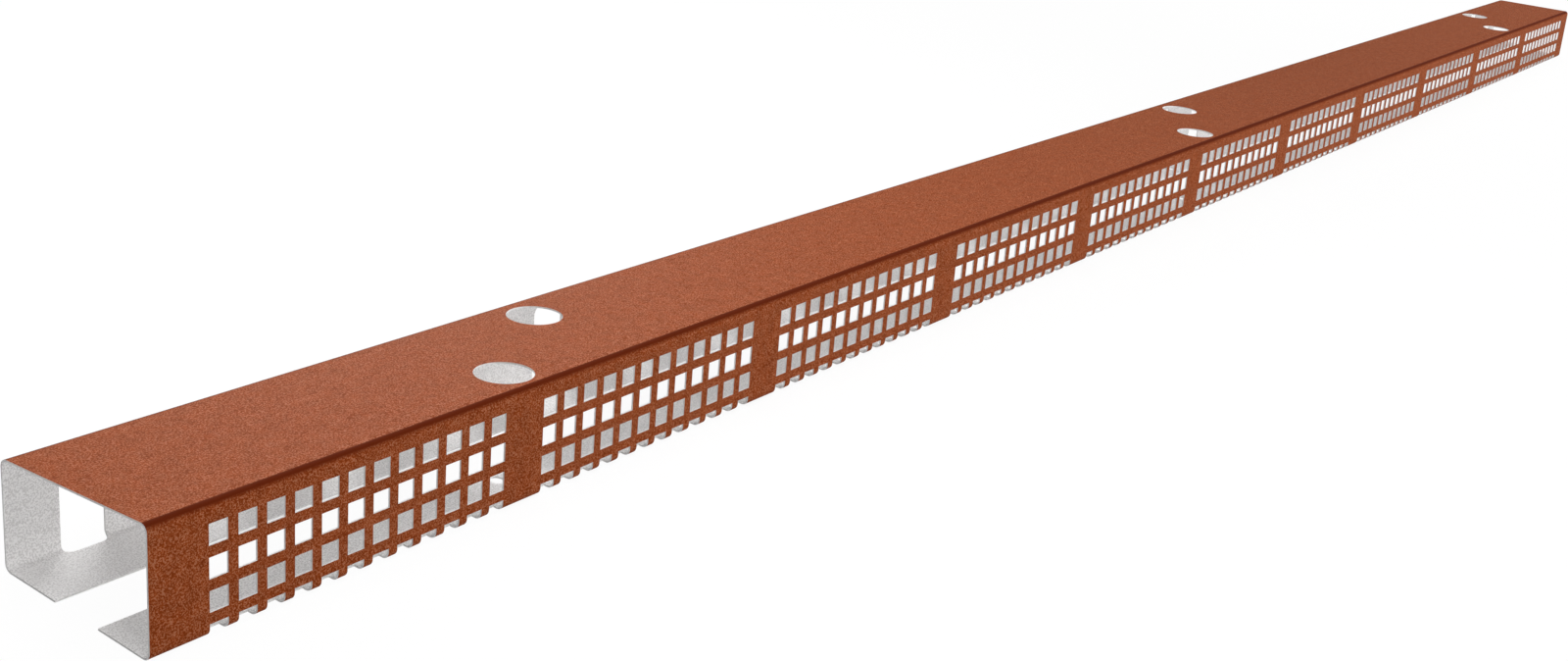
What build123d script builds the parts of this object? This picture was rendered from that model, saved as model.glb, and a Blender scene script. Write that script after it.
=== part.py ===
"""Ventilated starter strip for the eaves of a metal roof.

One coated steel sheet, punched flat and folded four times into an open channel. The wall that
faces the gutter is perforated, so that air can enter under the roof, and slots in the rear wall
let it pass on. The strip stands on two narrow feet, the lip under the front wall and the flange
under the rear wall, and is screwed down through them. Each screw is driven through a wide hole
in the top.

Frame: X runs along the strip, the perforated wall faces -Y, and Z is up. The feet lie on Z 0, and
the origin is on that plane, under the middle of the strip's bounding box.
"""

from math import cos, floor, radians, sin, tan
import os

from build123d import *

# Sheet, and the inside radius of its folds
length = 1500.0
sheet = 0.6
inside_radius = 2.0

# Section, measured outside, from sharp corner to sharp corner, in mm and degrees
front_height = 40.3
top_width = 61.4
lip_width = 21.5
flange_width = 21.9
wall_lean = 6.0
top_fall = 5.5

# Square perforations of the front wall, in panels, with a last row round the front foot's fold
hole_side = 6.5
hole_pitch = 10.0
columns = 12
panel_gap = 17.9
end_margin = 19.5
fold_row_height = 0.9
top_land = 3.0

# Air slots of the rear wall, which run round the rear foot's fold to a toe in the flange
slot_width = 15.0
slot_pitch = 50.0
slot_below_top = 5.0
slot_toe = 3.3

# Screw holes in the two feet, and the wide holes in the top above them
screw_hole = 5.0
screw_edge = 6.0
access_hole = 20.0
access_front = 14.0
access_rear = 45.6

# Fixing stations along the strip: a front screw, with its rear screw a stagger further on
near_fixing = 150.0
far_fixing = 180.0
middle_fixing = 39.0
stagger = 50.0

# Directions across the section, as (Y, Z)
lean = radians(wall_lean)
fall = radians(top_fall)
wall_up = Vector(sin(lean), cos(lean))
wall_out = Vector(-cos(lean), sin(lean))
top_along = Vector(cos(fall), -sin(fall))
top_out = Vector(sin(fall), cos(fall))
inwards = Vector(1, 0)

# Sharp corners of the section, from the front foot's corner, and the free edges of the feet
front_corner = Vector(0, 0)
top_front = front_corner + wall_up * front_height
top_rear = top_front + top_along * top_width
rear_height = top_rear.Y / cos(lean)
rear_corner = top_rear - wall_up * rear_height
lip_edge = front_corner + inwards * lip_width
flange_edge = rear_corner - inwards * flange_width

# From a top fold's sharp corner to where the flat front wall starts
outside_radius = inside_radius + sheet
top_tangent = outside_radius * tan((radians(90) - lean + fall) / 2)

# A cutter reaches this far past the sheet's faces
reach = 2 * sheet


def foot_fold(corner, along_foot, leg):
    """The outside of a foot's fold, as two flats that meet where a round fold would turn.

    Holes that wrap the fold end where the flats end, a leg away from the sharp corner.
    """
    bisector = (wall_up + along_foot).normalized()
    half_angle = radians(wall_up.get_angle(along_foot)) / 2
    crown = corner + bisector * outside_radius * (1 / sin(half_angle) - 1)
    return [corner + wall_up * leg, crown, corner + along_foot * leg]


fold_leg = fold_row_height + hole_side / 2
front_fold = foot_fold(front_corner, inwards, fold_leg)
rear_fold = foot_fold(rear_corner, -inwards, slot_toe)


def folded_sheet():
    """The plain channel: one strip of sheet, with round folds at the top and flat ones below."""
    outside = FilletPolyline(front_fold[0], top_front, top_rear, rear_fold[0], radius=outside_radius)
    outside += Polyline(lip_edge, *reversed(front_fold))
    outside += Polyline(*rear_fold, flange_edge)
    section = make_face(offset(outside.wire(), amount=sheet, side=Side.RIGHT))
    return extrude(Plane.YZ * section, amount=length / 2, both=True)


def outer_plane(corner, normal):
    """A plane on a wall's outer face, with X along the strip and Y across the wall."""
    return Plane(origin=(0, corner.X, corner.Y), x_dir=(1, 0, 0), z_dir=(0, normal.X, normal.Y))


front = outer_plane(front_corner, wall_out)
rear = outer_plane(rear_corner, wall_out)
top = outer_plane(top_front, top_out)


def fold_punch(corner, fold, along_foot, width):
    """A cutter for one hole round a foot's fold, ending across the sheet where the flats end."""
    wall_end, crown, foot_end = fold
    at_wall = (wall_up + (crown - wall_end).normalized()).normalized()
    at_foot = (along_foot + (crown - foot_end).normalized()).normalized()
    outline = Polyline(
        corner,
        wall_end - at_wall * reach,
        wall_end + at_wall * (sheet + reach),
        foot_end + at_foot * (sheet + reach),
        foot_end - at_foot * reach,
        close=True,
    )
    return extrude(Plane.YZ * make_face(outline), amount=width / 2, both=True)


def panel_centres():
    """X of each panel's middle: as many panels as fit between the end margins, centred."""
    panel_width = (columns - 1) * hole_pitch + hole_side
    panel_pitch = panel_width + panel_gap
    count = floor((length - 2 * end_margin + panel_gap) / panel_pitch)
    return [place.position.X for place in GridLocations(panel_pitch, 1, count, 1)]


def wall_perforations():
    """Square holes in the flat of the front wall, in as many rows as fit above the fold row."""
    highest = front_height - top_tangent - top_land - hole_side / 2
    rows = floor((highest - fold_row_height) / hole_pitch)
    middle = fold_row_height + (rows + 1) / 2 * hole_pitch
    punch = Box(hole_side, hole_side, 2 * reach)
    grid = GridLocations(hole_pitch, hole_pitch, columns, rows)
    return [front * Pos(x, middle) * place * punch for x in panel_centres() for place in grid]


def fold_perforations():
    """The last row: holes of the same width, which wrap the front foot's fold."""
    punch = fold_punch(front_corner, front_fold, inwards, hole_side)
    row = GridLocations(hole_pitch, 1, columns, 1)
    return [Pos(x) * place * punch for x in panel_centres() for place in row]


def air_slots():
    """Slots up the rear wall, each cut in the wall and on round the fold to its toe."""
    slot_top = rear_height - slot_below_top
    slot_foot = slot_toe - sheet
    on_wall = Box(slot_width, slot_top - slot_foot, 2 * reach)
    punch = rear * Pos(0, (slot_foot + slot_top) / 2) * on_wall
    punch += fold_punch(rear_corner, rear_fold, -inwards, slot_width)
    row = GridLocations(slot_pitch, 1, floor(length / slot_pitch), 1)
    return [place * punch for place in row]


def fixing_holes():
    """At each station a screw hole in the lip and one in the flange, under their access holes."""
    screw_punch = Cylinder(screw_hole / 2, 2 * reach)
    access_punch = Cylinder(access_hole / 2, 2 * reach)
    holes = []
    for x in (near_fixing - length / 2, -middle_fixing, length / 2 - far_fixing):
        holes.append(Pos(x, lip_edge.X - screw_edge) * screw_punch)
        holes.append(Pos(x + stagger, flange_edge.X + screw_edge) * screw_punch)
        holes.append(top * Pos(x, access_front) * access_punch)
        holes.append(top * Pos(x + stagger, access_rear) * access_punch)
    return holes


strip = folded_sheet()
strip -= wall_perforations() + fold_perforations() + air_slots() + fixing_holes()

# The origin goes under the middle of the bounding box, on the plane of the feet
box = strip.bounding_box()
strip = Pos(-box.center().X, -box.center().Y, -box.min.Z) * strip
strip.label = "starter_strip"

os.makedirs("parts", exist_ok=True)
export_step(strip, "parts/starter_strip.step")
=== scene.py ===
"""Looks of a ventilated starter strip, which lifts the first course of a metal roof at the eaves.

The strip is made as the real one is: one coated sheet is punched flat, bent round its four folds
and given its thickness. The brown coat is on the outside, the pale primer on the inside, and the
cut edges are bare.
"""

from math import cos, floor, pi, radians, sin, tan

import bmesh
import bpy
from bpy.props import FloatProperty, FloatVectorProperty, IntProperty, PointerProperty
from mathutils import Matrix, Vector


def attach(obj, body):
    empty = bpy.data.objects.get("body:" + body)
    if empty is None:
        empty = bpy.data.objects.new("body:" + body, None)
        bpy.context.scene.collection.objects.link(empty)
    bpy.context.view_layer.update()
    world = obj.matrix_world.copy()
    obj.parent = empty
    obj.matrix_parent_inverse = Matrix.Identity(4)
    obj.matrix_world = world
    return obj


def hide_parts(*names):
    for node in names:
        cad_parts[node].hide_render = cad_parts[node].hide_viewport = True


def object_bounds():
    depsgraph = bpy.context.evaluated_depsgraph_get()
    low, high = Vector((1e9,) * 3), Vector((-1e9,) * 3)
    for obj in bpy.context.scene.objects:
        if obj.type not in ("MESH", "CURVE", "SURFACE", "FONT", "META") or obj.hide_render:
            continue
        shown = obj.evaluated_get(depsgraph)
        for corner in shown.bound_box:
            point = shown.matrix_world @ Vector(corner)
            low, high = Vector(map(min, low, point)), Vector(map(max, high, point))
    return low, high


bl_info = {
    "name": "Ventilated Starter Strip",
    "version": (1, 0, 0),
    "blender": (4, 5, 0),
    "location": "3D View > Sidebar > Starter Strip",
    "description": "Punches, folds and finishes a ventilated starter strip on its packed solid",
    "category": "Object",
}

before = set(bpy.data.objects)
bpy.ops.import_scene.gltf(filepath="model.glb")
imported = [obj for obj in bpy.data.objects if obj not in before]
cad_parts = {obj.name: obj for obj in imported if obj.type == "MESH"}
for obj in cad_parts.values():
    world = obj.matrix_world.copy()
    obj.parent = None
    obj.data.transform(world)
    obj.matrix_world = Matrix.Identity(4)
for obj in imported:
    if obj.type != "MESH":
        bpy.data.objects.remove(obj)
cad_low, cad_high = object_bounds()

# The flats of the section, in the order in which the sheet is folded
LIP, FRONT, TOP, REAR, FLANGE = range(5)

# The two folds beside the top, in the order of folding, where the front foot's fold is 0
FRONT_TOP_FOLD = 1
REAR_TOP_FOLD = 2

# Materials of the sheet, in the order of its slots
OUTSIDE, INSIDE, CUT = range(3)

# Layers of the sheet's mesh: the faces that bend, and how much shade is painted on the coat in a
# top fold
BEND_LAYER = "bends"
FOLD_SHADE_LAYER = "fold_stretch"

# Two points of the flat sheet closer than this, in m, are one
TOUCH = 1e-7

# A point of the flat sheet closer than this to a bend line, in m, lies on it
ON_LINE = 10 * TOUCH

# Part of a pitch that rounding may take from the room for a row
ROUNDING = 1e-3

# Share of a top fold, at each side of it, where no shade is painted on the coat
FOLD_MARGIN = 0.01

# How steeply the painted shade rises from the wall's side of a top fold
FOLD_SHADE_GAIN = 2.2

# Size in m of the coat's faint patches, and how dark the darkest are
MOTTLE_SIZE = 0.004
MOTTLE_TONE = 0.84

# Size in m of the dull spots on a cut edge, and how dark they are
SPOT_SIZE = 0.0012
SPOT_TONE = 0.85

# Half the floor's width in m, and its grey for the light that it throws back
FLOOR_REACH = 20.0
FLOOR_GREY = 0.45

# Distances from the origin, in m, between which the strip's shadow fades out
FADE_START = 0.45
FADE_END = 1.0

# Lamps, each named as the property with its power: place, target and side in m, whether it casts
# a shadow, and the angle of its beam in degrees
LAMPS = (
    ("front", (0.5, -1.6, 0.6), (0.1, 0.0, 0.0), 1.2, True, 180.0),
    ("fill", (0.5, -1.6, 0.6), (0.1, 0.0, 0.0), 1.2, False, 180.0),
    ("inside", (-0.6, 0.0, 1.0), (-0.6, 0.0, 0.0), 0.8, False, 180.0),
    ("key", (-0.65, 0.0, 0.6), (-0.65, 0.0, 0.0), 0.4, True, 180.0),
    ("glance", (0.1, 0.95, 0.5), (-0.9, 0.0, 0.04), 0.7, True, 90.0),
    ("far", (0.9, 0.2, 1.1), (0.8, 0.0, 0.0), 1.0, True, 180.0),
)


def length_property(name, description, default):
    """A size in metres that a user may change."""
    return FloatProperty(
        name=name, description=description, default=default, unit="LENGTH", precision=5
    )


def angle_property(name, description, degrees):
    """An angle that a user may change."""
    return FloatProperty(
        name=name, description=description, default=radians(degrees), subtype="ANGLE"
    )


def count_property(name, description, default, least=1):
    """A whole number that a user may change."""
    return IntProperty(name=name, description=description, default=default, min=least)


def colour_property(name, description, default):
    """A scene-linear colour that a user may change."""
    return FloatVectorProperty(
        name=name,
        description=description,
        default=default,
        subtype="COLOR",
        size=3,
        min=0.0,
        max=1.0,
    )


def power_property(name, description, default):
    """A lamp's power in watts that a user may change."""
    return FloatProperty(
        name=name, description=description, default=default, min=0.0, unit="POWER"
    )


class StripSizes(bpy.types.PropertyGroup):
    """Sizes of the sheet, its folds and its holes.

    They are those of the part's solid, but here the folds of the feet and the slots' corners are
    round.
    """

    length: length_property("Length", "Along the strip", cad_high.x - cad_low.x)
    sheet: length_property("Sheet", "Thickness of the coated sheet", 0.0006)
    inside_radius: length_property("Inside radius", "Inside radius of each fold", 0.002)
    fold_steps: count_property("Fold steps", "Flats that make up one fold", 8, least=2)

    front_height: length_property("Front height", "Front wall, between sharp corners", 0.0403)
    top_width: length_property("Top width", "Top, between sharp corners", 0.0614)
    lip_width: length_property("Lip width", "Front foot, from sharp corner to edge", 0.0215)
    flange_width: length_property("Flange width", "Rear foot, from sharp corner to edge", 0.0219)
    wall_lean: angle_property("Wall lean", "Lean of both walls to the rear", 6.0)
    top_fall: angle_property("Top fall", "Fall of the top to the rear", 5.5)

    hole_side: length_property("Hole side", "Side of a square perforation", 0.0065)
    hole_pitch: length_property("Hole pitch", "Pitch of the perforations", 0.010)
    columns: count_property("Columns", "Columns of holes in a panel", 12)
    rows: count_property("Rows", "Rows of holes in the flat of the wall", 3)
    panel_gap: length_property("Panel gap", "Plain sheet between two panels", 0.0179)
    end_margin: length_property("End margin", "Least plain sheet at each end", 0.0195)
    fold_row_height: length_property("Fold row", "Middle of the row round the foot", 0.0009)

    slot_width: length_property("Slot width", "Width of a rear air slot", 0.015)
    slot_pitch: length_property("Slot pitch", "Pitch of the rear air slots", 0.050)
    slot_corner: length_property("Slot corner", "Corner radius of a rear air slot", 0.003)
    slot_below_top: length_property("Slot below top", "From the top's rear corner", 0.005)
    slot_toe: length_property("Slot toe", "How far a slot runs on into the flange", 0.0033)

    screw_hole: length_property("Screw hole", "Diameter of a screw hole", 0.005)
    screw_edge: length_property("Screw edge", "From a screw hole's middle to the edge", 0.006)
    access_hole: length_property("Driver hole", "Diameter of a driver hole in the top", 0.020)
    access_front: length_property("Front driver hole", "From the top's front corner", 0.014)
    access_rear: length_property("Rear driver hole", "From the top's front corner", 0.0456)
    near_fixing: length_property("Near fixing", "From the near end to its front screw", 0.150)
    middle_fixing: length_property("Middle fixing", "From the middle to its front screw", 0.039)
    far_fixing: length_property("Far fixing", "From the far end to its front screw", 0.180)
    stagger: length_property("Stagger", "From a front screw on to its rear screw", 0.050)


class StripFinishes(bpy.types.PropertyGroup):
    """Colours of the coat, the primer and the cut edge, and the size of the grains."""

    coat: colour_property("Coat", "Brick brown of the grained coat", (0.282, 0.055, 0.010))
    coat_dark: colour_property("Coat hollows", "Between the grains", (0.190, 0.031, 0.004))
    coat_light: colour_property("Coat grains", "Crests of the grains", (0.398, 0.142, 0.070))
    # The coat's colour at a top fold is painted shade, not a colour that the coat has
    coat_painted_fold_shade: colour_property("Coat at a fold", "Painted shade along the top folds", (0.090, 0.011, 0.001))
    primer: colour_property("Primer", "Pale grey primer of the inside", (0.930, 0.917, 0.912))
    primer_dark: colour_property("Primer hollows", "Between the grains", (0.690, 0.676, 0.671))
    cut: colour_property("Cut edge", "Bare metal of a cut edge", (0.930, 0.915, 0.905))
    grain: length_property("Grain", "Size of the grains of the coat and the primer", 0.0005)


class StripStage(bpy.types.PropertyGroup):
    """Light of the picture, and the shadow on its floor."""

    sky: FloatProperty(
        name="Sky", description="Strength of the even light all round", default=0.35, min=0.0
    )
    front: power_property("Front", "Power of the soft lamp in front", 9.5)
    fill: power_property("Fill", "Power of the lamp in front that also lights the inside", 16.0)
    inside: power_property("Inside", "Power of the lamp above that also lights the inside", 2.8)
    key: power_property("Key", "Power of the low lamp above the near end", 1.2)
    glance: power_property("Glance", "Power of the narrow lamp that glances off the near end", 2.6)
    far: power_property("Far", "Power of the lamp above the far end", 7.2)
    shadow: FloatProperty(
        name="Shadow",
        description="Share of the shadow that shows on the floor",
        default=0.10,
        subtype="FACTOR",
    )


class Development:
    """The section laid flat: where each flat and each fold lies across the sheet.

    The flat sheet runs from the lip's free edge towards -Y, and places across it are counted from
    that edge.
    """

    def __init__(self, sizes):
        lean = sizes.wall_lean
        fall = sizes.top_fall
        radius = sizes.inside_radius + sizes.sheet
        right_angle = radians(90)
        top_rear_height = sizes.front_height * cos(lean) - sizes.top_width * sin(fall)
        widths = (
            sizes.lip_width,
            sizes.front_height,
            sizes.top_width,
            top_rear_height / cos(lean),
            sizes.flange_width,
        )
        turns = (
            right_angle + lean,
            right_angle - lean + fall,
            right_angle + lean - fall,
            right_angle - lean,
        )
        # From a fold's sharp corner to the flat sheet, with none at the two free edges
        self.setbacks = [0.0] + [radius * tan(turn / 2) for turn in turns] + [0.0]
        self.starts = []
        self.hinges = []
        self.folds = []
        across = 0.0
        for flat, width in enumerate(widths):
            self.starts.append(across)
            across += width - self.setbacks[flat] - self.setbacks[flat + 1]
            if flat < len(turns):
                across = self.add_fold(across, turns[flat], radius, sizes.fold_steps)
        self.width = across
        # From the front foot's sharp corner to where the holes round it end, on both sides
        self.fold_leg = sizes.fold_row_height + sizes.hole_side / 2
        # The solid's foremost point is where such a hole ends on the leaning wall
        sharp_corner = cad_low.y - self.fold_leg * sin(lean)
        self.lip_edge = sharp_corner + sizes.lip_width

    def add_fold(self, start, turn, radius, steps):
        """Adds a fold's bend lines, each with its share of the turn, and returns its end."""
        step = turn / steps
        chord = 2 * radius * sin(step / 2)
        for line in range(steps + 1):
            share = step / 2 if line in (0, steps) else step
            self.hinges.append((start + line * chord, share))
        end = start + steps * chord
        self.folds.append((start, end))
        return end

    def across(self, flat, distance):
        """The place a distance from the sharp corner or free edge where a flat starts."""
        return self.starts[flat] + distance - self.setbacks[flat]

    def to_y(self, across):
        """Y of a place across the flat sheet."""
        return self.lip_edge - across

    def from_y(self, y):
        """The place across the flat sheet that has this Y."""
        return self.lip_edge - y


def punch_rectangle(sheet_mesh, centre, width, height, corner=0.0, corner_steps=5):
    """Draws the outline of one rectangular punch, from a square with a side of one."""
    made = bmesh.ops.create_grid(sheet_mesh, x_segments=1, y_segments=1, size=0.5)["verts"]
    bmesh.ops.scale(sheet_mesh, vec=(width, height, 1.0), verts=made)
    bmesh.ops.translate(sheet_mesh, vec=(centre[0], centre[1], 0.0), verts=made)
    if corner > 0.0:
        bmesh.ops.bevel(
            sheet_mesh,
            geom=made,
            offset=corner,
            segments=corner_steps,
            profile=0.5,
            affect="VERTICES",
            material=-1,
        )


def punch_circle(sheet_mesh, centre, diameter, segments=48):
    """Draws the outline of one round punch."""
    bmesh.ops.create_circle(
        sheet_mesh,
        cap_ends=False,
        segments=segments,
        radius=diameter / 2,
        matrix=Matrix.Translation((centre[0], centre[1], 0.0)),
    )


def whole_pitches(room, pitch):
    """How many whole pitches a room holds, whatever the rounding of the two sizes."""
    return floor(room / pitch + ROUNDING)


def centred_row(count, pitch):
    """Places along the strip, a pitch apart and centred on its middle."""
    return [(place - (count - 1) / 2) * pitch for place in range(count)]


def draw_perforations(sheet_mesh, sizes, flat_sheet):
    """Square holes of the front wall, in panels, with a last row across the front foot's fold."""
    panel_width = (sizes.columns - 1) * sizes.hole_pitch + sizes.hole_side
    panel_pitch = panel_width + sizes.panel_gap
    panels = whole_pitches(sizes.length - 2 * sizes.end_margin + sizes.panel_gap, panel_pitch)
    wrap_start = flat_sheet.across(LIP, sizes.lip_width - flat_sheet.fold_leg)
    wrap_end = flat_sheet.across(FRONT, flat_sheet.fold_leg)
    wrap_height = wrap_end - wrap_start
    wrap_middle = flat_sheet.to_y((wrap_start + wrap_end) / 2)
    for panel in centred_row(panels, panel_pitch):
        for column in centred_row(sizes.columns, sizes.hole_pitch):
            along = panel + column
            punch_rectangle(sheet_mesh, (along, wrap_middle), sizes.hole_side, wrap_height)
            for row in range(1, sizes.rows + 1):
                up_wall = sizes.fold_row_height + row * sizes.hole_pitch
                middle = (along, flat_sheet.to_y(flat_sheet.across(FRONT, up_wall)))
                punch_rectangle(sheet_mesh, middle, sizes.hole_side, sizes.hole_side)


def draw_slots(sheet_mesh, sizes, flat_sheet):
    """Air slots of the rear wall, which run on across the rear foot's fold."""
    high = flat_sheet.to_y(flat_sheet.across(REAR, sizes.slot_below_top))
    low = flat_sheet.to_y(flat_sheet.across(FLANGE, sizes.slot_toe))
    slots = whole_pitches(sizes.length, sizes.slot_pitch)
    for along in centred_row(slots, sizes.slot_pitch):
        middle = (along, (high + low) / 2)
        punch_rectangle(sheet_mesh, middle, sizes.slot_width, high - low, sizes.slot_corner)


def draw_fixings(sheet_mesh, sizes, flat_sheet):
    """Screw holes of both feet, and the driver holes above them in the top."""
    lip_line = flat_sheet.to_y(flat_sheet.across(LIP, sizes.screw_edge))
    flange_line = flat_sheet.to_y(flat_sheet.width - sizes.screw_edge)
    front_line = flat_sheet.to_y(flat_sheet.across(TOP, sizes.access_front))
    rear_line = flat_sheet.to_y(flat_sheet.across(TOP, sizes.access_rear))
    half = sizes.length / 2
    for along in (sizes.near_fixing - half, -sizes.middle_fixing, half - sizes.far_fixing):
        punch_circle(sheet_mesh, (along, lip_line), sizes.screw_hole)
        punch_circle(sheet_mesh, (along + sizes.stagger, flange_line), sizes.screw_hole)
        punch_circle(sheet_mesh, (along, front_line), sizes.access_hole)
        punch_circle(sheet_mesh, (along + sizes.stagger, rear_line), sizes.access_hole)


def fill_sheet(sheet_mesh):
    """Fills the sheet between its outline and the punched outlines, with its coat facing down."""
    bmesh.ops.delete(sheet_mesh, geom=sheet_mesh.faces[:], context="FACES_ONLY")
    bmesh.ops.triangle_fill(
        sheet_mesh,
        use_beauty=True,
        use_dissolve=False,
        edges=sheet_mesh.edges[:],
        normal=(0.0, 0.0, -1.0),
    )
    upturned = [face for face in sheet_mesh.faces if face.normal.z > 0.0]
    bmesh.ops.reverse_faces(sheet_mesh, faces=upturned)


def crease_sheet(sheet_mesh, flat_sheet):
    """Cuts the flat sheet along its bend lines."""
    for line, _turn in flat_sheet.hinges:
        bmesh.ops.bisect_plane(
            sheet_mesh,
            geom=sheet_mesh.verts[:] + sheet_mesh.edges[:] + sheet_mesh.faces[:],
            dist=TOUCH,
            plane_co=(0.0, flat_sheet.to_y(line), 0.0),
            plane_no=(0.0, 1.0, 0.0),
        )


def mark_folds(sheet_mesh, flat_sheet):
    """Notes on the flat sheet which faces bend, and how much shade is painted on the coat in a top
    fold.
    """
    painted_fold_shade = sheet_mesh.verts.layers.float.new(FOLD_SHADE_LAYER)
    bends = sheet_mesh.faces.layers.int.new(BEND_LAYER)
    for face in sheet_mesh.faces:
        place = flat_sheet.from_y(face.calc_center_median().y)
        face[bends] = int(any(start < place < end for start, end in flat_sheet.folds))
    front_wall, front_top = flat_sheet.folds[FRONT_TOP_FOLD]
    rear_top, rear_wall = flat_sheet.folds[REAR_TOP_FOLD]
    for vert in sheet_mesh.verts:
        place = flat_sheet.from_y(vert.co.y)
        for top_line, wall_line in ((front_top, front_wall), (rear_top, rear_wall)):
            from_top = (place - top_line) / (wall_line - top_line)
            if FOLD_MARGIN < from_top < 1.0 - FOLD_MARGIN:
                # Painted shade: strongest at the top's side of the fold, fading out towards the
                # wall
                vert[painted_fold_shade] = min(1.0, FOLD_SHADE_GAIN * cos(from_top * pi / 2) ** 2)


def fold_sheet(sheet_mesh, flat_sheet):
    """Bends the sheet round each line in turn, from the lip on, as a press brake does."""
    places = [(vert, flat_sheet.from_y(vert.co.y)) for vert in sheet_mesh.verts]
    for line, turn in flat_sheet.hinges:
        on_line = next(vert for vert, place in places if abs(place - line) < ON_LINE)
        beyond = [vert for vert, place in places if place > line + ON_LINE]
        bmesh.ops.rotate(
            sheet_mesh,
            cent=on_line.co.copy(),
            matrix=Matrix.Rotation(-turn, 3, "X"),
            verts=beyond,
        )


def thicken_sheet(sheet_mesh, sizes):
    """Gives the folded skin its thickness inwards, and tells coat, primer and cut edge apart."""
    coat_side = set(sheet_mesh.verts)
    bends = sheet_mesh.faces.layers.int[BEND_LAYER]
    bmesh.ops.solidify(sheet_mesh, geom=sheet_mesh.faces[:], thickness=sizes.sheet)
    for face in sheet_mesh.faces:
        on_coat = [vert in coat_side for vert in face.verts]
        if all(on_coat):
            face.material_index = OUTSIDE
        elif any(on_coat):
            face.material_index = CUT
        else:
            face.material_index = INSIDE
        face.smooth = face.material_index != CUT and face[bends] == 1
    for edge in sheet_mesh.edges:
        kinds = {face.material_index for face in edge.link_faces}
        edge.smooth = len(kinds) == 1 and CUT not in kinds


def object_of(name, finished_mesh, materials):
    """Turns a finished mesh into an object of the scene with these materials."""
    mesh = bpy.data.meshes.new(name)
    finished_mesh.to_mesh(mesh)
    finished_mesh.free()
    for material in materials:
        mesh.materials.append(material)
    made = bpy.data.objects.new(name, mesh)
    bpy.context.scene.collection.objects.link(made)
    return made


def grey(level):
    """A colour without a hue."""
    return (level, level, level)


def node_of(tree, kind, **settings):
    """Adds one shader node with its settings."""
    made = tree.nodes.new(kind)
    for name, value in settings.items():
        setattr(made, name, value)
    return made


def empty_material(name):
    """A new material with a Principled shader on its output, and its object coordinates."""
    material = bpy.data.materials.new(name)
    material.use_nodes = True
    tree = material.node_tree
    shader = tree.nodes["Principled BSDF"]
    place = node_of(tree, "ShaderNodeTexCoord")
    return material, tree, shader, place.outputs["Object"]


def noise_of(tree, place, size, detail, roughness):
    """A noise whose grains have about that size in metres."""
    noise = node_of(tree, "ShaderNodeTexNoise")
    noise.inputs["Scale"].default_value = 1.0 / size
    noise.inputs["Detail"].default_value = detail
    noise.inputs["Roughness"].default_value = roughness
    tree.links.new(place, noise.inputs["Vector"])
    return noise.outputs["Fac"]


def ramp_of(tree, source, stops):
    """A colour ramp with these (position, colour) stops."""
    ramp = node_of(tree, "ShaderNodeValToRGB")
    elements = ramp.color_ramp.elements
    while len(elements) < len(stops):
        elements.new(0.5)
    for element, (position, colour) in zip(elements, stops):
        element.position = position
        element.color = (*colour, 1.0)
    tree.links.new(source, ramp.inputs["Fac"])
    return ramp.outputs["Color"]


def mix_of(tree, blend, share, first, second):
    """Mixes two colours; each value is a socket, or else a number or colour of its own."""
    mix = node_of(tree, "ShaderNodeMix", data_type="RGBA", blend_type=blend)
    for name, value in (("Factor_Float", share), ("A_Color", first), ("B_Color", second)):
        socket = next(found for found in mix.inputs if found.identifier == name)
        if isinstance(value, bpy.types.NodeSocket):
            tree.links.new(value, socket)
        elif name == "Factor_Float":
            socket.default_value = value
        else:
            socket.default_value = (*value, 1.0)
    return next(found for found in mix.outputs if found.identifier == "Result_Color")


def bump_of(tree, height, strength, distance):
    """A bump of that distance in metres."""
    bump = node_of(tree, "ShaderNodeBump")
    bump.inputs["Strength"].default_value = strength
    bump.inputs["Distance"].default_value = distance
    tree.links.new(height, bump.inputs["Height"])
    return bump.outputs["Normal"]


def coat_material(finishes):
    """Matt brown coat with fine grains, and painted shade that darkens it along the top folds."""
    material, tree, shader, place = empty_material("grained_coat")
    grains = noise_of(tree, place, finishes.grain, detail=2.0, roughness=0.6)
    tones = ((0.40, finishes.coat_dark), (0.50, finishes.coat), (0.60, finishes.coat_light))
    grained = ramp_of(tree, grains, tones)
    mottle = noise_of(tree, place, MOTTLE_SIZE, detail=1.0, roughness=0.5)
    patches = ramp_of(tree, mottle, ((0.3, grey(MOTTLE_TONE)), (0.7, grey(1.0))))
    mottled = mix_of(tree, "MULTIPLY", 1.0, grained, patches)
    painted_fold_shade = node_of(tree, "ShaderNodeAttribute", attribute_name=FOLD_SHADE_LAYER)
    # Painted shade: the coat is mixed towards a dark brown along the top folds
    coloured = mix_of(tree, "MIX", painted_fold_shade.outputs["Fac"], mottled, finishes.coat_painted_fold_shade)
    relief = bump_of(tree, grains, strength=0.2, distance=0.00006)
    tree.links.new(coloured, shader.inputs["Base Color"])
    tree.links.new(relief, shader.inputs["Normal"])
    shader.inputs["Roughness"].default_value = 0.62
    shader.inputs["Specular IOR Level"].default_value = 0.022
    shader.inputs["Specular Tint"].default_value = (1.0, 0.92, 0.82, 1.0)
    return material


def primer_material(finishes):
    """Pale grey primer with a fine dry grain."""
    material, tree, shader, place = empty_material("pale_primer")
    grains = noise_of(tree, place, finishes.grain, detail=0.0, roughness=0.5)
    coloured = ramp_of(tree, grains, ((0.35, finishes.primer_dark), (0.62, finishes.primer)))
    relief = bump_of(tree, grains, strength=0.2, distance=0.00005)
    tree.links.new(coloured, shader.inputs["Base Color"])
    tree.links.new(relief, shader.inputs["Normal"])
    shader.inputs["Roughness"].default_value = 0.7
    shader.inputs["Specular IOR Level"].default_value = 0.25
    return material


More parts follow.
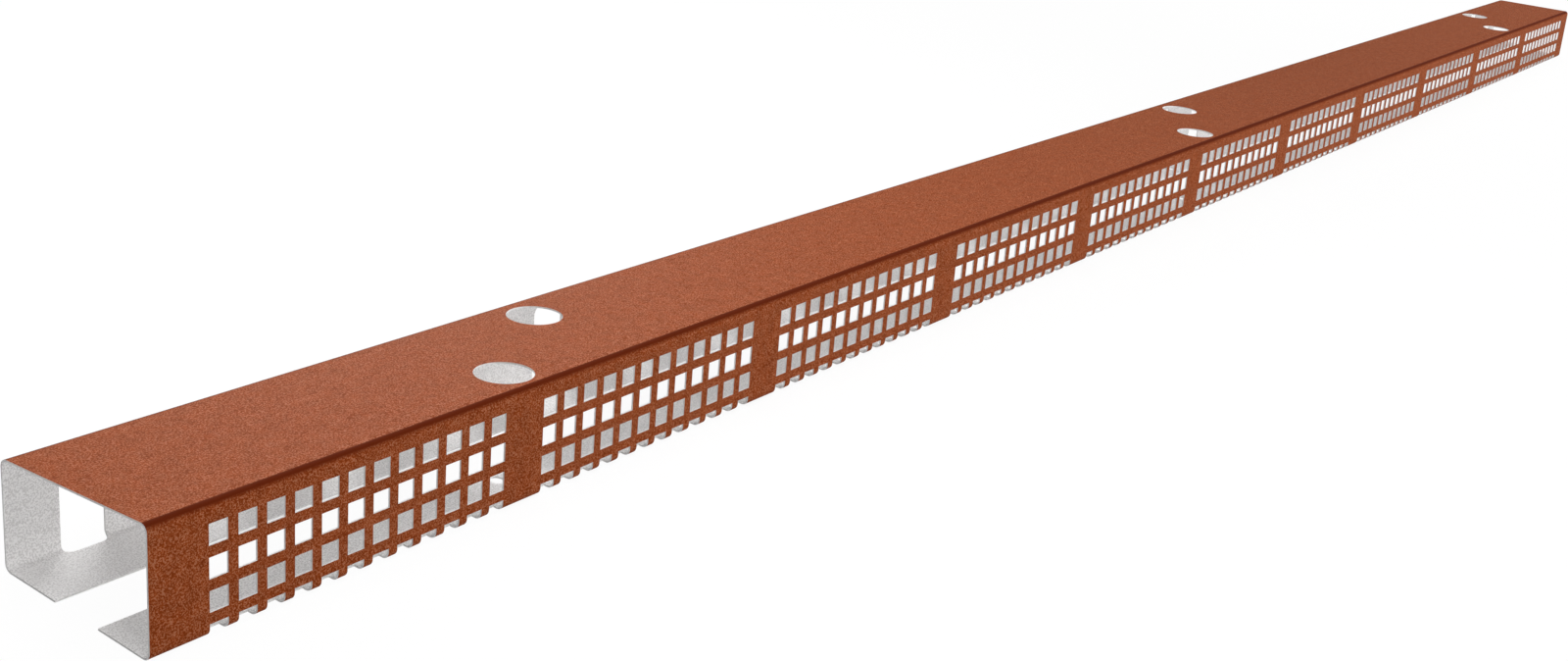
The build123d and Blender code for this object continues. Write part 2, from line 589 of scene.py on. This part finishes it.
def cut_material(finishes):
    """Bare cut edge with small dull spots, as a shear leaves it."""
    material, tree, shader, place = empty_material("cut_edge")
    spots = noise_of(tree, place, SPOT_SIZE, detail=2.0, roughness=0.5)
    dull = tuple(SPOT_TONE * part for part in finishes.cut)
    coloured = ramp_of(tree, spots, ((0.35, dull), (0.6, finishes.cut)))
    tree.links.new(coloured, shader.inputs["Base Color"])
    shader.inputs["Roughness"].default_value = 0.4
    return material


class STRIP_OT_fold_sheet(bpy.types.Operator):
    """Punch the flat sheet, fold it and give it its thickness and finishes"""

    bl_idname = "strip.fold_sheet"
    bl_label = "Punch and Fold the Sheet"

    def execute(self, context):
        sizes = context.scene.strip_sizes
        finishes = context.scene.strip_finishes
        flat_sheet = Development(sizes)
        sheet_mesh = bmesh.new()
        middle = (0.0, flat_sheet.to_y(flat_sheet.width / 2))
        punch_rectangle(sheet_mesh, middle, sizes.length, flat_sheet.width)
        draw_perforations(sheet_mesh, sizes, flat_sheet)
        draw_slots(sheet_mesh, sizes, flat_sheet)
        draw_fixings(sheet_mesh, sizes, flat_sheet)
        fill_sheet(sheet_mesh)
        crease_sheet(sheet_mesh, flat_sheet)
        mark_folds(sheet_mesh, flat_sheet)
        fold_sheet(sheet_mesh, flat_sheet)
        thicken_sheet(sheet_mesh, sizes)
        materials = (coat_material(finishes), primer_material(finishes), cut_material(finishes))
        strip = object_of("folded_sheet", sheet_mesh, materials)
        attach(strip, "root")
        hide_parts("starter_strip")
        return {"FINISHED"}


def seen_share(tree):
    """One for a ray from the camera, also by a gloss or through glass, and nought for light."""
    ray = node_of(tree, "ShaderNodeLightPath")
    share = ray.outputs["Is Camera Ray"]
    for name in ("Is Glossy Ray", "Is Transmission Ray"):
        either = node_of(tree, "ShaderNodeMath", operation="MAXIMUM")
        tree.links.new(share, either.inputs[0])
        tree.links.new(ray.outputs[name], either.inputs[1])
        share = either.outputs["Value"]
    return share


def mix_shaders(tree, share, first, second, output):
    """Puts two shaders on an output, the second one by its share."""
    mix = node_of(tree, "ShaderNodeMixShader")
    tree.links.new(share, mix.inputs["Fac"])
    tree.links.new(first, mix.inputs[1])
    tree.links.new(second, mix.inputs[2])
    tree.links.new(mix.outputs["Shader"], output.inputs["Surface"])


def floor_material(stage):
    """White where it is seen, apart from a share of the strip's shadow, and grey for light."""
    material = bpy.data.materials.new("white_floor")
    material.use_nodes = True
    tree = material.node_tree
    tree.nodes.clear()
    output = node_of(tree, "ShaderNodeOutputMaterial")
    matt = node_of(tree, "ShaderNodeBsdfDiffuse")
    white = node_of(tree, "ShaderNodeEmission")
    seen = seen_share(tree)
    tone = ramp_of(tree, seen, ((0.0, grey(FLOOR_GREY)), (1.0, grey(1.0))))
    tree.links.new(tone, matt.inputs["Color"])
    place = node_of(tree, "ShaderNodeTexCoord")
    away = node_of(tree, "ShaderNodeVectorMath", operation="LENGTH")
    tree.links.new(place.outputs["Object"], away.inputs[0])
    fade = ((FADE_START, grey(1.0 - stage.shadow)), (FADE_END, grey(1.0)))
    whiter = ramp_of(tree, away.outputs["Value"], fade)
    share = node_of(tree, "ShaderNodeMath", operation="MULTIPLY")
    tree.links.new(seen, share.inputs[0])
    tree.links.new(whiter, share.inputs[1])
    shown = share.outputs["Value"]
    mix_shaders(tree, shown, matt.outputs["BSDF"], white.outputs["Emission"], output)
    return material


def make_floor(stage):
    """A wide white floor, on which only part of the strip's shadow shows."""
    floor_mesh = bmesh.new()
    bmesh.ops.create_grid(floor_mesh, x_segments=1, y_segments=1, size=FLOOR_REACH)
    ground = object_of("floor", floor_mesh, (floor_material(stage),))


def make_sky(stage):
    """Even white light all round, over a white background."""
    world = bpy.data.worlds.new("white_studio")
    bpy.context.scene.world = world
    world.use_nodes = True
    tree = world.node_tree
    tree.nodes.clear()
    output = node_of(tree, "ShaderNodeOutputWorld")
    light = node_of(tree, "ShaderNodeBackground")
    light.inputs["Strength"].default_value = stage.sky
    white = node_of(tree, "ShaderNodeBackground")
    seen = seen_share(tree)
    mix_shaders(tree, seen, light.outputs["Background"], white.outputs["Background"], output)


def make_lamp(name, power, place, target, side, shadow, beam):
    """A square soft lamp that faces a target. Without a shadow it lights the inside as well."""
    lamp = bpy.data.lights.new(name, "AREA")
    lamp.energy = power
    lamp.size = side
    lamp.use_shadow = shadow
    lamp.spread = radians(beam)
    holder = bpy.data.objects.new(name, lamp)
    holder.location = place
    facing = Vector(target) - Vector(place)
    holder.rotation_euler = facing.to_track_quat("-Z", "Y").to_euler()
    bpy.context.scene.collection.objects.link(holder)


def make_camera():
    """The photograph's camera: low, close to the near end, and turned a little about its axis."""
    data = bpy.data.cameras.new("camera")
    data.lens = 44.83
    data.sensor_width = 36.0
    data.shift_x = -0.0366
    data.shift_y = -0.0081
    data.clip_start = 0.01
    place = Vector((-1.04921, -0.39119, 0.30403))
    forward = Vector((0.8093, 0.46235, -0.36241)).normalized()
    right = Vector((0.5465, -0.81879, 0.17595))
    right = (right - right.project(forward)).normalized()
    up = right.cross(forward)
    turned = Matrix((right, up, -forward)).transposed().to_4x4()
    camera = bpy.data.objects.new("camera", data)
    camera.matrix_world = Matrix.Translation(place) @ turned
    bpy.context.scene.collection.objects.link(camera)
    bpy.context.scene.camera = camera


class STRIP_OT_set_stage(bpy.types.Operator):
    """Set the white floor, the soft light and the photograph's camera"""

    bl_idname = "strip.set_stage"
    bl_label = "Set the Stage"

    def execute(self, context):
        stage = context.scene.strip_stage
        make_floor(stage)
        make_sky(stage)
        for name, place, target, side, shadow, beam in LAMPS:
            make_lamp(name, getattr(stage, name), place, target, side, shadow, beam)
        make_camera()
        context.scene.view_settings.view_transform = "Standard"
        return {"FINISHED"}


class STRIP_PT_sidebar(bpy.types.Panel):
    """Sizes, finishes and steps of the starter strip"""

    bl_idname = "STRIP_PT_sidebar"
    bl_label = "Starter Strip"
    bl_space_type = "VIEW_3D"
    bl_region_type = "UI"
    bl_category = "Starter Strip"

    def draw(self, context):
        layout = self.layout
        scene = context.scene
        for group in (scene.strip_sizes, scene.strip_finishes, scene.strip_stage):
            column = layout.column(align=True)
            for name in group.__annotations__:
                column.prop(group, name)
        layout.operator(STRIP_OT_fold_sheet.bl_idname)
        layout.operator(STRIP_OT_set_stage.bl_idname)


CLASSES = (
    StripSizes,
    StripFinishes,
    StripStage,
    STRIP_OT_fold_sheet,
    STRIP_OT_set_stage,
    STRIP_PT_sidebar,
)


def register():
    """Adds the classes, and the three groups of properties to the scene."""
    for cls in CLASSES:
        bpy.utils.register_class(cls)
    bpy.types.Scene.strip_sizes = PointerProperty(type=StripSizes)
    bpy.types.Scene.strip_finishes = PointerProperty(type=StripFinishes)
    bpy.types.Scene.strip_stage = PointerProperty(type=StripStage)


def unregister():
    """Takes the groups of properties and the classes away again."""
    del bpy.types.Scene.strip_stage
    del bpy.types.Scene.strip_finishes
    del bpy.types.Scene.strip_sizes
    for cls in reversed(CLASSES):
        bpy.utils.unregister_class(cls)


def main():
    """Makes the strip and its stage."""
    register()
    bpy.ops.strip.fold_sheet()
    bpy.ops.strip.set_stage()


if __name__ == "__main__":
    main()
